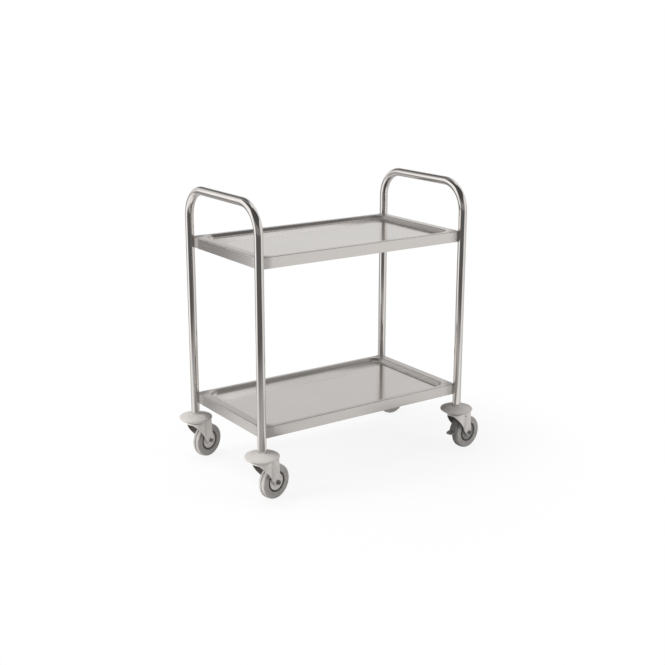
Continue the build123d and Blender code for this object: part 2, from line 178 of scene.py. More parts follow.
def warm_grey(level):
    """A warm grey, at a level from black to white."""
    return (level * 1.05, level, level * 0.96, 1)


def marked(tree, colour, mask, share, level):
    """A colour with a mark over it: a share of warm grey where a mask is 1."""
    return blend_colours(tree, calculate(tree, "MULTIPLY", mask, share), colour, warm_grey(level))


def stretched_noise(tree, place, scale, detail=2.0, turn=(0.0, 0.0, 0.0)):
    """Noise over a place, with its own scale along each axis in waves per metre."""
    mapped = add_node(tree, "Mapping", {"Vector": place, "Rotation": turn, "Scale": scale})
    inputs = {"Vector": mapped.outputs["Vector"], "Scale": 1.0, "Detail": detail}
    return add_node(tree, "TexNoise", inputs).outputs["Fac"]


def even_noise(tree, place, scale, detail):
    """Noise over a place with one scale in waves per metre."""
    inputs = {"Vector": place, "Scale": scale, "Detail": detail}
    return add_node(tree, "TexNoise", inputs).outputs["Fac"]


def bumped(tree, height, distance, strength, normal=None):
    """A normal pushed in and out by a height."""
    inputs = {"Height": height, "Distance": distance, "Strength": strength}
    if normal is not None:
        inputs["Normal"] = normal
    return add_node(tree, "Bump", inputs).outputs["Normal"]


def rounded_edges(tree, radius):
    """A normal that rolls over sharp edges, and a mask that is 1 along them."""
    rolled = add_node(tree, "Bevel", {"Radius": radius}, samples=6).outputs["Normal"]
    plain = add_node(tree, "NewGeometry").outputs["Normal"]
    facing = add_node(tree, "VectorMath", {0: rolled, 1: plain}, operation="DOT_PRODUCT")
    return rolled, ramp_between(tree, facing.outputs["Value"], 0.995, 0.86)


def start_finish(name):
    """A new material with its node tree, its surface shader and Object coordinates."""
    material = bpy.data.materials.new(name)
    material.use_nodes = True
    tree = material.node_tree
    surface = tree.nodes["Principled BSDF"]
    place = add_node(tree, "TexCoord").outputs["Object"]
    return material, tree, surface, place


def set_surface(tree, surface, **values):
    """Fill the surface shader's sockets, named with underscores for spaces."""
    for name, value in values.items():
        fill_socket(tree, surface.inputs[name.replace("_", " ")], value)


def parts_of(tree, vector):
    """The X, Y and Z of a vector."""
    return add_node(tree, "SeparateXYZ", {0: vector}).outputs


def heights(tree, place):
    """The Z of a place."""
    return parts_of(tree, place)["Z"]


def turned_sizes(tree):
    """Distances of a turned piece's surface from its own axis, and from its own middle along the axis."""
    place = add_node(tree, "Attribute", attribute_name="turned_place").outputs["Vector"]
    flat = add_node(tree, "VectorMath", {0: place, 1: (1, 1, 0)}, operation="MULTIPLY")
    radius = add_node(tree, "VectorMath", {0: flat.outputs["Vector"]}, operation="LENGTH")
    return radius.outputs["Value"], calculate(tree, "ABSOLUTE", heights(tree, place))


def distance_from_legs(tree, place):
    """Level distance of a place from the nearest leg's axis."""
    folded = add_node(tree, "VectorMath", {0: place}, operation="ABSOLUTE").outputs["Vector"]
    off = add_node(tree, "VectorMath", {0: folded, 1: leg_offsets}, operation="SUBTRACT").outputs["Vector"]
    level = add_node(tree, "VectorMath", {0: off, 1: (1, 1, 0)}, operation="MULTIPLY").outputs["Vector"]
    return add_node(tree, "VectorMath", {0: level}, operation="LENGTH").outputs["Value"]


def braked_end(tree, place):
    """A mask that is 1 at the trolley's right end, where the casters have brakes."""
    return ramp_between(tree, parts_of(tree, place)["X"], -0.01, 0.01)


def creases(tree, reach):
    """A mask that is 1 deep in the hollow corners of a piece."""
    node = add_node(tree, "AmbientOcclusion", {"Distance": reach}, samples=6, only_local=True)
    return ramp_between(tree, node.outputs["AO"], 0.97, 0.72)


# Finishes
def polished_tube():
    """Mirror-polished tube: fine polishing rings, faint waves, smudges where hands hold the handles."""
    material, tree, surface, place = start_finish("mirror_polished_tube")
    height = heights(tree, place)
    handle = ramp_between(tree, height, handle_top - 0.075, handle_top - 0.03)
    leg_rings = stretched_noise(tree, place, (35, 35, 1100))
    bar_rings = stretched_noise(tree, place, (35, 1100, 35))
    rings = add_node(tree, "Mix", {0: handle, 2: leg_rings, 3: bar_rings}).outputs[0]
    waves = even_noise(tree, place, 22, 1.0)
    held = ramp_between(tree, height, handle_top - 0.16, handle_top - 0.06)
    smudges = ramp_between(tree, even_noise(tree, place, 55, 4.0), 0.5, 0.72)
    roughness = raised(tree, 0.05, rings, 0.05)
    roughness = raised(tree, roughness, overlap(tree, smudges, held), 0.10)
    colour = blend_colours(tree, waves, warm_grey(0.74), warm_grey(0.82))
    normal = bumped(tree, waves, 0.002, 0.02)
    normal = bumped(tree, rings, 0.0001, 0.05, normal)
    set_surface(tree, surface, Base_Color=colour, Metallic=1.0, Roughness=roughness, Normal=normal)
    return material


def back_edges(tree, place):
    """Masks at the back of the tray floors: all that is dull there, and a painted sheen over it that fades to the
    right.
    """
    sides = parts_of(tree, place)
    strip = overlap(
        tree,
        ramp_between(tree, sides["Y"], *strip_front),
        ramp_between(tree, sides["Y"], *strip_back),
        ramp_between(tree, calculate(tree, "ABSOLUTE", sides["X"]), *strip_end),
    )
    film_and_sheen = overlap(
        tree,
        ramp_between(tree, sides["Y"], *sheen_front),
        ramp_between(tree, sides["Y"], *sheen_back),
        ramp_between(tree, sides["X"], *sheen_left),
        ramp_between(tree, sides["X"], *sheen_right),
    )
    return calculate(tree, "MAXIMUM", strip, film_and_sheen), film_and_sheen


def wall_marks(tree, place, facing, drawn, upper):
    """Masks on the dish walls: painted shade on the long ones, at the foot on the upper tray, and a painted
    highlight on the ends.
    """
    sides = parts_of(tree, place)
    foot = ramp_between(tree, facing["Z"], 0.60, 0.72)
    wall_shade = overlap(
        tree,
        ramp_between(tree, calculate(tree, "ABSOLUTE", facing["Y"]), 0.12, 0.3),
        drawn,
        ramp_between(tree, calculate(tree, "ABSOLUTE", sides["Y"]), *wall_shade_side),
        calculate(tree, "MAXIMUM", foot, calculate(tree, "SUBTRACT", 1.0, upper)),
    )
    end_highlight = overlap(
        tree,
        ramp_between(tree, calculate(tree, "ABSOLUTE", facing["X"]), 0.04, 0.2),
        ramp_between(tree, facing["Z"], 0.55, 0.75),
        ramp_between(tree, calculate(tree, "ABSOLUTE", sides["X"]), *highlight_end),
    )
    return wall_shade, end_highlight


def tray_scratches(tree, place):
    """A mask of long and cross scratches in the tray sheet."""
    long_scratches = stretched_noise(tree, place, (14, 620, 620), 1.0, (0, 0, 0.5))
    cross_scratches = stretched_noise(tree, place, (480, 11, 480), 1.0, (0, 0, 0.3))
    return ramp_between(tree, calculate(tree, "MAXIMUM", long_scratches, cross_scratches), 0.74, 0.8)


def bright_tray():
    """Bright tray sheet: grain, press waves, scratches, painted shade and highlight on the walls, dull rims,
    corners and back edges, a painted sheen at the back, painted shade on the lower tray.
    """
    material, tree, surface, place = start_finish("bright_tray_sheet")
    grain = stretched_noise(tree, place, (9, 900, 900), 3.0)
    clouds = even_noise(tree, place, 7, 3.0)
    waves = even_noise(tree, place, 4, 0.0)
    rolled, edges = rounded_edges(tree, 0.0008)
    facing = parts_of(tree, add_node(tree, "NewGeometry").outputs["Normal"])
    drawn = band_between(tree, facing["Z"], 0.15, 0.98, 0.015)
    endwise = ramp_between(tree, calculate(tree, "ABSOLUTE", facing["X"]), 0.1, 0.5)
    height = heights(tree, place)
    upper = ramp_between(tree, height, lower_rim, upper_rim)
    handled = calculate(
        tree,
        "MAXIMUM",
        band_between(tree, height, upper_rim - 0.0006, upper_rim, 0.0006),
        band_between(tree, height, lower_rim - 0.0006, lower_rim, 0.0006),
    )
    unpolished = ramp_between(tree, distance_from_legs(tree, place), 0.05, 0.025)
    dull, painted_sheen = back_edges(tree, place)
    wall_shade, end_highlight = wall_marks(tree, place, facing, drawn, upper)
    roughness = raised(tree, 0.09, grain, 0.05)
    roughness = raised(tree, roughness, clouds, 0.04)
    roughness = raised(tree, roughness, tray_scratches(tree, place), 0.10)
    roughness = raised(tree, roughness, drawn, 0.16)
    roughness = raised(tree, roughness, overlap(tree, endwise, drawn), 0.22)
    roughness = raised(tree, roughness, handled, 0.14)
    roughness = raised(tree, roughness, unpolished, 0.3)
    roughness = raised(tree, roughness, dull, 0.24)
    bright = blend_colours(tree, clouds, warm_grey(0.64), warm_grey(0.70))
    # Painted shade: the lower tray gets a darker tone of the same steel.
    wear_and_shade = blend_colours(tree, clouds, warm_grey(0.57), warm_grey(0.63))
    colour = blend_colours(tree, upper, wear_and_shade, bright)
    # Painted sheen: a pale, less metallic patch at the back of each floor.
    film_and_sheen = blend_colours(tree, upper, warm_grey(0.74), warm_grey(0.63))
    colour = blend_colours(tree, painted_sheen, colour, film_and_sheen)
    # Painted shade on the long dish walls: at their foot on the upper tray, all over on the lower.
    colour = marked(tree, colour, wall_shade, 0.7, 0.40)
    # Painted highlight on the sloped end walls of the dishes.
    colour = marked(tree, colour, end_highlight, 0.9, 0.92)
    colour = blend_colours(tree, edges, colour, warm_grey(0.74))
    shine = raised(tree, 1.0, painted_sheen, -0.6)
    normal = bumped(tree, waves, 0.004, 0.03, rolled)
    normal = bumped(tree, grain, 0.0001, 0.08, normal)
    set_surface(tree, surface, Base_Color=colour, Metallic=shine, Roughness=roughness, Normal=normal)
    return material


def bracket_steel():
    """Mill-finish stainless of the hidden brackets: dull, cloudy, cut edges brighter."""
    material, tree, surface, place = start_finish("mill_bracket_sheet")
    clouds = even_noise(tree, place, 60, 4.0)
    grain = stretched_noise(tree, place, (900, 900, 40), 2.0)
    rolled, edges = rounded_edges(tree, 0.0006)
    colour = blend_colours(tree, clouds, warm_grey(0.41), warm_grey(0.53))
    colour = blend_colours(tree, edges, colour, warm_grey(0.65))
    roughness = raised(tree, 0.26, clouds, 0.2)
    normal = bumped(tree, grain, 0.0001, 0.2, rolled)
    set_surface(tree, surface, Base_Color=colour, Metallic=1.0, Roughness=roughness, Normal=normal)
    return material


def zinc_plating(name, level, edge_radius, dullness, shine):
    """Zinc plating: pale clouds in two tints, dark spots, fine pitting, rubbed edges, painted shade in hollow
    corners.
    """
    material, tree, surface, place = start_finish(name)
    clouds = even_noise(tree, place, 38, 4.0)
    tint = even_noise(tree, place, 16, 2.0)
    pits = even_noise(tree, place, 1500, 2.0)
    rolled, edges = rounded_edges(tree, edge_radius)
    pale = (level, level * 0.98, level * 0.96, 1)
    straw = (level * 1.06, level, level * 0.93, 1)
    colour = blend_colours(tree, tint, pale, straw)
    dark_spots = ramp_between(tree, clouds, 0.6, 0.8, 0.0, 0.45)
    colour = blend_colours(tree, dark_spots, colour, warm_grey(level * 0.6))
    colour = blend_colours(tree, edges, colour, warm_grey(level * 1.12))
    # Painted shade: darker in hollow corners and deep inside the fork, from Ambient Occlusion.
    painted_crease_shade = calculate(tree, "MAXIMUM", creases(tree, 0.006), creases(tree, 0.06))
    colour = marked(tree, colour, painted_crease_shade, 0.85, 0.10)
    roughness = raised(tree, dullness, clouds, 0.18)
    normal = bumped(tree, pits, 0.00008, 0.25, rolled)
    set_surface(tree, surface, Base_Color=colour, Metallic=shine, Roughness=roughness, Normal=normal)
    return material


def greased_steel():
    """Bearing steel under a brownish film of grease."""
    material, tree, surface, place = start_finish("greased_bearing_steel")
    film_and_sheen = ramp_between(tree, even_noise(tree, place, 120, 3.0), 0.42, 0.66)
    colour = blend_colours(tree, film_and_sheen, (0.50, 0.49, 0.48, 1), (0.20, 0.17, 0.13, 1))
    roughness = raised(tree, 0.18, film_and_sheen, 0.2)
    normal = bumped(tree, film_and_sheen, 0.0002, 0.2)
    set_surface(tree, surface, Base_Color=colour, Metallic=1.0, Roughness=roughness, Normal=normal)
    return material


def lever_paint():
    """Dark paint of the brake levers: slight orange peel, edges and the pedal's end worn to bare metal."""
    material, tree, surface, place = start_finish("lever_paint")
    peel = even_noise(tree, place, 600, 2.0)
    rolled, edges = rounded_edges(tree, 0.0008)
    chips = ramp_between(tree, even_noise(tree, place, 300, 4.0), 0.4, 0.6)
    trodden = ramp_between(tree, heights(tree, place), *trodden_height)
    wear_and_shade = calculate(tree, "MAXIMUM", overlap(tree, edges, chips), trodden)
    colour = blend_colours(tree, peel, warm_grey(0.24), warm_grey(0.27))
    bare = blend_colours(tree, chips, warm_grey(0.30), warm_grey(0.25))
    colour = blend_colours(tree, wear_and_shade, colour, bare)
    roughness = raised(tree, 0.36, peel, 0.12)
    normal = bumped(tree, peel, 0.0001, 0.2, rolled)
    shine = calculate(tree, "MULTIPLY", wear_and_shade, 0.3)
    set_surface(tree, surface, Base_Color=colour, Metallic=shine, Roughness=roughness, Normal=normal)
    return material


def moulded_plastic(name, light, dark, gloss, grain_scale):
    """Moulded plastic: fine spark-eroded grain, faint flow marks and grey scuffs."""
    material, tree, surface, place = start_finish(name)
    flow = even_noise(tree, place, 45, 3.0)
    grain = even_noise(tree, place, grain_scale, 2.0)
    scuffs = ramp_between(tree, stretched_noise(tree, place, (90, 90, 700), 3.0), 0.66, 0.76)
    colour = blend_colours(tree, flow, warm_grey(light), warm_grey(dark))
    colour = marked(tree, colour, scuffs, 0.3, 0.2)
    roughness = raised(tree, gloss, flow, 0.12)
    roughness = raised(tree, roughness, scuffs, 0.15)
    rolled = rounded_edges(tree, 0.0005)[0]
    normal = bumped(tree, grain, 0.0001, 0.3, rolled)
    set_surface(tree, surface, Base_Color=colour, Roughness=roughness, Normal=normal)
    return material


def tyre_rubber():
    """Grey tyre rubber: matt sidewall, dusty tread, painted shade on the treads at the braked end, painted
    highlight along the shoulder ring, painted shade by the bead, dirt and painted shade in the tread groove.
    """
    material, tree, surface, place = start_finish("tyre_rubber")
    radius, aside = turned_sizes(tree)
    mottle = even_noise(tree, place, 70, 4.0)
    skin = even_noise(tree, place, 2200, 2.0)
    dust = even_noise(tree, place, 26, 5.0)
    tread = ramp_between(tree, radius, (wheel_radius - 4) * mm, (wheel_radius - 1) * mm)
    dusty = ramp_between(tree, dust, 0.3, 0.7, 0.45, 0.95)
    # Painted shade: the treads at the braked end keep little of their pale dust.
    unshaded_end = raised(tree, 1.0, braked_end(tree, place), -0.85)
    # Painted highlight along the shoulder ring.
    line = band_between(tree, radius, (shoulder_ring - 0.2) * mm, (shoulder_ring + 1) * mm, 0.0004)
    # Painted shade in the ring by the bead, next to the hub.
    bead_shade = ramp_between(tree, radius, (bead_radius + 3.5) * mm, (bead_radius + 0.5) * mm)
    outer = ramp_between(tree, radius, (wheel_radius - 5.5) * mm, (wheel_radius - 3.5) * mm)
    # Dirt and painted shade in the groove round the tread.
    groove_shade = overlap(tree, ramp_between(tree, aside, 0.0020, 0.0016), outer)
    colour = blend_colours(tree, mottle, warm_grey(0.28), warm_grey(0.345))
    colour = blend_colours(tree, overlap(tree, tread, dusty, unshaded_end), colour, warm_grey(0.62))
    colour = marked(tree, colour, line, 0.5, 0.36)
    colour = marked(tree, colour, bead_shade, 0.8, 0.06)
    colour = marked(tree, colour, groove_shade, 0.55, 0.12)
    roughness = raised(tree, 0.5, mottle, 0.2)
    normal = bumped(tree, skin, 0.0001, 0.3)
    set_surface(tree, surface, Base_Color=colour, Roughness=roughness, Normal=normal)
    return material


def hub_plastic():
    """Pale grey hub moulding: fine grain, painted shade over the braked wheels' hubs, grime by the boss, painted
    shade in the groove by the tyre.
    """
    material, tree, surface, place = start_finish("hub_plastic")
    radius = turned_sizes(tree)[0]
    flow = even_noise(tree, place, 60, 3.0)
    grain = even_noise(tree, place, 1800, 2.0)
    grime_clouds = ramp_between(tree, even_noise(tree, place, 140, 4.0), 0.35, 0.7, 0.3, 1.0)
    round_boss = band_between(tree, radius, boss_radius * mm, (boss_radius + 0.7) * mm, 0.0012)
    groove_shade = ramp_between(tree, radius, (hub_radius - 0.08) * mm, (hub_radius + 0.02) * mm)
    colour = blend_colours(tree, flow, warm_grey(0.60), warm_grey(0.54))
    # Painted shade over the hubs of the braked wheels at the right end.
    colour = marked(tree, colour, braked_end(tree, place), 0.9, 0.16)
    colour = marked(tree, colour, overlap(tree, round_boss, grime_clouds), 0.5, 0.15)
    # Painted shade: near black at the foot of the groove between hub and tyre.
    colour = blend_colours(tree, groove_shade, colour, warm_grey(0.07))
    roughness = raised(tree, 0.34, flow, 0.12)
    normal = bumped(tree, grain, 0.0001, 0.25)
    set_surface(tree, surface, Base_Color=colour, Roughness=roughness, Normal=normal)
    return material


def pad_rubber():
    """Black rubber of the brake pads, mottled and matt."""
    material, tree, surface, place = start_finish("pad_rubber")
    mottle = even_noise(tree, place, 90, 4.0)
    colour = blend_colours(tree, mottle, warm_grey(0.02), warm_grey(0.05))
    roughness = raised(tree, 0.55, mottle, 0.2)
    normal = bumped(tree, even_noise(tree, place, 2000, 2.0), 0.0001, 0.3)
    set_surface(tree, surface, Base_Color=colour, Roughness=roughness, Normal=normal)
    return material


finishes = {
    "polished_stainless_tube": polished_tube(),
    "stainless_tray": bright_tray(),
    "stainless_bracket": bracket_steel(),
    "zinc_fastener": zinc_plating(
        "fastener_plating", level=0.34, edge_radius=0.0003, dullness=0.2, shine=1.0
    ),
    "zinc_fork": zinc_plating("fork_plating", level=0.72, edge_radius=0.0006, dullness=0.3, shine=0.35),
    "blackened_lever": lever_paint(),
    "bearing_steel": greased_steel(),
    "bumper_grey": moulded_plastic("bumper_plastic", light=0.50, dark=0.45, gloss=0.36, grain_scale=1400),
    "hub_grey": hub_plastic(),
    "tyre_grey": tyre_rubber(),
    "bush_white": moulded_plastic("bush_nylon", light=0.77, dark=0.69, gloss=0.3, grain_scale=2600),
    "pad_black": pad_rubber(),
}


def dress_cad_nodes():
    """Give every CAD node the finish of its material slot in the record."""
    node_slots = {row["node"]: row["material_slot"] for row in frame["record"]["subparts"]}
    for name, node in frame["nodes"].items():
        for holder in node.material_slots:
            holder.material = finishes[node_slots[name]]


# Shapes turned round the Z axis, from outlines of radius and height in millimetres
def arc(middle, radius, start, end, count):
    """Points of a round stretch of an outline, its angles in degrees from the radius towards the height."""
    turns = (radians(start + (end - start) * step / count) for step in range(count + 1))
    return [(middle[0] + radius * cos(turn), middle[1] + radius * sin(turn)) for turn in turns]


def swell(start, end, rise, count):
    """Points of a shallow curve between two points, raised to its left, without the end points."""
    run = Vector(end) - Vector(start)
    left = Vector((-run.y, run.x)).normalized()
    shares = (step / count for step in range(1, count))
    return [Vector(start) + run * share + left * rise * 4 * share * (1 - share) for share in shares]


def mirrored(half):
    """A whole outline from its half above height zero."""
    return list(half) + [(radius, -height) for radius, height in reversed(half)]


def turn_outline(shape, outline, steps, closed=True):
    """Turn an outline once round Z, and return the new points."""
    before = set(shape.verts)
    points = [shape.verts.new((radius * mm, 0, height * mm)) for radius, height in outline]
    ends = points[1:] + points[:1] if closed else points[1:]
    lines = [shape.edges.new(pair) for pair in zip(points, ends)]
    bmesh.ops.spin(
        shape, geom=points + lines, cent=(0, 0, 0), axis=(0, 0, 1), angle=tau, steps=steps, use_merge=True
    )
    return [point for point in shape.verts if point not in before]


def turned_shape(outline, steps, closed=True):
    """A new shape turned from one outline."""
    shape = bmesh.new()
    turn_outline(shape, outline, steps, closed)
    return shape


def cut_hexagon(points, across_flats, top):
    """Push the widest points of a turned head out to a hexagon, chamfered at its top height."""
    half = across_flats / 2 * mm
    chamfer_radius = half * face_share
    for point in points:
        if point.co.xy.length < half * 0.99:
            continue
        turn = atan2(point.co.y, point.co.x)
        reach = half / cos((turn + pi / 6) % (pi / 3) - pi / 6)
        point.co.xy = point.co.xy.normalized() * reach
        if abs(point.co.z - top * mm) < merge_distance:
            point.co.z -= (reach - chamfer_radius) * tan(pi / 6)


def add_hexagon_bolt(shape, diameter, pitch, across_flats, head_height, length):
    """A hex bolt with its seat at height zero: dished head, washer face, shank and ring-cut thread."""
    shank = diameter / 2
    half = across_flats / 2
    face = half * face_share
    dish_depth = 0.3
    root = shank - pitch * 0.55
    crest_half = pitch * 0.08
    outline = [
        (0, head_height - dish_depth),
        (face * 0.72, head_height - dish_depth),
        (face * 0.78, head_height),
        (face, head_height),
        (half, head_height),
        (half, washer_face),
        (face, washer_face),
        (face, 0),
        (shank, 0),
    ]
    thread_length = min(length * 0.45, 12)
    turns = int(thread_length / pitch)
    for turn in range(turns):
        crest = -length + pitch * (turns - turn + 0.5)
        outline += [(shank, crest + crest_half), (shank, crest - crest_half), (root, crest - pitch * 0.5)]
    outline += [(root * 0.92, -length), (0, -length)]
    points = turn_outline(shape, outline, hexagon_steps, closed=False)
    cut_hexagon(points, across_flats, head_height)
    return points


def add_lock_nut(shape, diameter, across_flats, height):
    """A hex lock nut with its seat at height zero and a round collar on top."""
    half = across_flats / 2
    face = half * face_share
    bore = diameter / 2 + 0.1
    collar = half * 0.9
    collar_round = 0.8
    shoulder = height * 0.68
    outline = [
        (face, 0),
        (face, washer_face),
        (half, washer_face),
        (half, shoulder),
        (face, shoulder),
        (collar, shoulder + 0.2),
        *arc((collar - collar_round, height - collar_round), collar_round, 0, 90, 5),
        (bore + 0.5, height),
        (bore, height - 0.6),
        (bore, 0),
    ]
    points = turn_outline(shape, outline, hexagon_steps)
    cut_hexagon(points, across_flats, shoulder)


def place_piece(shape, name, place, body, slot, node):
    """Finish a shape as a piece of the trolley: in place, on its body, in its finish, for its CAD node."""
    bmesh.ops.remove_doubles(shape, verts=shape.verts, dist=merge_distance)
    bmesh.ops.recalc_face_normals(shape, faces=shape.faces)
    own_place = shape.verts.layers.float_vector.new("turned_place")
    for point in shape.verts:
        point[own_place] = point.co
    bmesh.ops.transform(shape, matrix=place, verts=shape.verts)
    mesh = bpy.data.meshes.new(name)
    shape.to_mesh(mesh)
    shape.free()
    mesh.shade_smooth()
    mesh.set_sharp_from_angle(angle=crease_angle)
    mesh.materials.append(finishes[slot])
    piece = bpy.data.objects.new(name, mesh)
    bpy.context.scene.collection.objects.link(piece)
    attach(piece, body)
    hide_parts(node)


# Places of the casters
def rest_turn(corner):
    """How a caster stands turned at rest, from +X to its trailing wheel."""
    run = joint_points[f"{corner}_wheel_roll"] - joint_points[f"{corner}_swivel_turn"]
    return Matrix.Rotation(atan2(run.y, run.x), 4, "Z")


def leg_place(corner, height):
    """The place on a leg's axis at a height in metres, turned as the caster stands."""
    leg = joint_points[f"{corner}_swivel_turn"]
    return Matrix.Translation((leg.x, leg.y, height)) @ rest_turn(corner)


def cross_place(corner, joint):
    """A joint across a caster's fork as the Z axis, which points at the side of the bolt's head."""
    return Matrix.Translation(joint_points[joint]) @ rest_turn(corner) @ Matrix.Rotation(-pi / 2, 4, "X")


# Pieces of the casters
def make_tyre(corner):
    """Solid tyre: groove round the tread, rounded shoulders, and raised rings on both sidewalls."""
    half = [
        (wheel_radius - 1.5, 1.3),
        (wheel_radius - 1.3, 1.65),
        (wheel_radius - 0.3, 1.75),
        (wheel_radius, 2.05),
        (wheel_radius - 0.15, 3.5),
        (wheel_radius - 0.4, 5.2),
        (wheel_radius - 0.65, 6.4),
        *arc((wheel_radius - 5.8, tyre_half_width - 5), 5, 6, 90, 8),
        (shoulder_ring, tyre_half_width),
        (shoulder_ring - 0.5, tyre_half_width - 0.45),
        (42.0, tyre_half_width - 0.6),
        (39.5, tyre_half_width - 0.55),
        (37.0, tyre_half_width - 0.6),
        (36.2, tyre_half_width - 0.4),
        (35.7, tyre_half_width),
        (33.4, tyre_half_width),
        *arc((33.0, tyre_half_width - 2.4), 2.4, 90, 150, 4),
        (bead_radius + 0.6, 7.4),
        (bead_radius, 7.0),
        (seat_radius + 0.02, 7.0),
    ]
    shape = turned_shape(mirrored(half), turn_steps)
    place = cross_place(corner, f"{corner}_wheel_roll")
    place_piece(shape, f"{corner}_ringed_tyre", place, f"{corner}_wheel", "tyre_grey", f"{corner}_tyre")


def make_hub(corner):
    """Hub moulding: round-edged boss, dished face, raised rim and the groove beside the tyre."""
    half = [
        (seat_radius, 5.5),
        (hub_radius + 0.3, 5.5),
        (hub_radius, 5.8),
        *arc((hub_radius - 0.8, 9.7), 0.8, 0, 90, 5),
        (22.7, 10.5),
        (21.9, 10.2),
        (21.0, 9.5),
        (17.5, 9.2),
        (14.0, 9.4),
        (boss_radius + 0.8, 9.8),
        (boss_radius, 10.8),
        (boss_radius - 0.5, hub_half_length - 1.0),
        *arc((10.5, hub_half_length - 0.9), 0.9, 15, 90, 5),
        (8.5, hub_half_length),
        (8.07, hub_half_length - 0.4),
    ]
    shape = turned_shape(mirrored(half), turn_steps)
    place = cross_place(corner, f"{corner}_wheel_roll")
    place_piece(shape, f"{corner}_dished_hub", place, f"{corner}_wheel", "hub_grey", f"{corner}_hub")


def make_bumper(corner):
    """Saucer bumper: round-lipped collar on the leg, domed top, parting ridge, hollow underside."""
    collar_foot = (17.0, 23.2)
    rim_top = (rim_radius - 4, 16.0)
    rim_under = (rim_radius - 4, 8.0)
    foot = (28.5, 0.3)
    outline = [
        (12.55, 14.1),
        (12.55, 24.4),
        *arc((13.8, 23.8), 1.2, 150, 20, 8),
        (15.6, 23.6),
        collar_foot,
        *swell(collar_foot, rim_top, 1.5, 10),
        *arc((rim_radius - 4.2, 12), 4, 82, 6, 8),
        (rim_radius, 12.2),
        (rim_radius, 11.8),
        *arc((rim_radius - 4.2, 12), 4, -6, -82, 8),
        *swell(rim_under, foot, 2, 10),
        foot,
        (28.1, 0.0),
        (23.9, 0.0),
        (23.5, 0.4),
        (23.5, 4.0),
        (6.1, 4.0),
        (6.1, 14.1),
    ]
    node = f"{corner}_bumper"
    shape = turned_shape(outline, turn_steps)
    place = leg_place(corner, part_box(node)[0].z)
    place_piece(shape, f"{corner}_saucer_bumper", place, "frame", "bumper_grey", node)


def make_axle_fasteners(corner):
    """Axle bolt with its head on one cheek, and its lock nut on the other."""
    across = cross_place(corner, f"{corner}_wheel_roll")
    length = 2 * cheek_outside + axle_bolt_past_cheek
    bolt = bmesh.new()
    add_hexagon_bolt(bolt, diameter=8, pitch=1.25, across_flats=13, head_height=5.3, length=length)
    seat = across @ Matrix.Translation((0, 0, cheek_outside * mm))
    swivel = f"{corner}_swivel"
    place_piece(bolt, f"{corner}_hex_axle_bolt", seat, swivel, "zinc_fastener", f"{corner}_axle_bolt")
    nut = bmesh.new()
    add_lock_nut(nut, diameter=8, across_flats=13, height=6.5)
    seat = across @ Matrix.Translation((0, 0, -cheek_outside * mm)) @ Matrix.Rotation(pi, 4, "X")
    place_piece(nut, f"{corner}_axle_lock_nut", seat, swivel, "zinc_fastener", f"{corner}_axle_nut")


def make_king_bolt(corner):
    """King bolt with its head under the fork's crown."""
    node = f"{corner}_king_bolt"
    low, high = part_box(node)
    head = 7.5
    length = (high.z - low.z) / mm - head
    shape = bmesh.new()
    add_hexagon_bolt(shape, diameter=12, pitch=1.75, across_flats=19, head_height=head, length=length)
    place = leg_place(corner, low.z + head * mm) @ Matrix.Rotation(pi, 4, "X")
    place_piece(shape, f"{corner}_hex_king_bolt", place, "frame", "zinc_fastener", node)


def make_brake_pin(corner):
    """Riveted pin of the brake lever, with a domed head on each cheek."""
    pin_radius = 2.0
    head_radius = 3.2
    head_height = 1.4
    dome = (head_radius**2 + head_height**2) / (2 * head_height)
    peak = cheek_outside + head_height
    edge_angle = 90 - degrees(atan2(head_radius, dome - head_height))
    half = [*arc((0, peak - dome), dome, 90, edge_angle, 6), (pin_radius, cheek_outside)]
    shape = turned_shape(mirrored(half), hexagon_steps, closed=False)
    place = cross_place(corner, f"{corner}_brake_press")
    node = f"{corner}_brake_pin"
    place_piece(shape, f"{corner}_domed_pin", place, f"{corner}_swivel", "zinc_fastener", node)


def make_tray_bolts():
    """Hex bolts that hold both trays to the four legs, heads towards the trays' middle."""
    length = tray_bolt_seat - tray_bolt_tip
    shape = bmesh.new()
    for rim in (upper_rim, lower_rim):
        for corner in corners:
            leg = joint_points[f"{corner}_swivel_turn"]
            inwards = Vector((-leg.x / abs(leg.x), -leg.y / abs(leg.y), 0)).normalized()
            seat = Vector((leg.x, leg.y, rim - tray_bolt_drop * mm)) + inwards * tray_bolt_seat * mm
            place = Matrix.Translation(seat) @ inwards.to_track_quat("Z", "Y").to_matrix().to_4x4()
            points = add_hexagon_bolt(
                shape, diameter=6, pitch=1.0, across_flats=10, head_height=4, length=length
            )
            bmesh.ops.transform(shape, matrix=place, verts=points)
    place_piece(shape, "hex_tray_bolts", Matrix.Identity(4), "frame", "zinc_fastener", "tray_bolts")


def make_detailed_pieces():
    """Every piece that stands for a plainer CAD node."""
    make_tray_bolts()
    for corner in corners:
        make_tyre(corner)
        make_hub(corner)
        make_bumper(corner)
        make_axle_fasteners(corner)
        make_king_bolt(corner)
    for corner in braked_corners:
        make_brake_pin(corner)


# Studio sizes in metres
floor_half = 14.0
backdrop_radius = 3.2
backdrop_height = 5.2
foot_softness = 0.15
top_softness = 0.45

# Studio light: soft light all round, and the brightness of what the steel mirrors
plain_white = (1, 1, 1, 1)
ambient_level = 0.36
mirrored_strength = 1.1

# Floor as it shows to the eye: its paper, how white it is near the trolley, and the distances in metres
# between which it turns plain white
paper_colour = (0.75, 0.75, 0.75, 1)
near_whiteness = 0.88
paper_inner = 0.45
paper_outer = 0.95

# Distances in metres where the floor's tones under the trolley, near it and far from it run into each other
tones_under = 0.65
tones_beside = 0.85
tones_near = 1.0
tones_far = 2.0

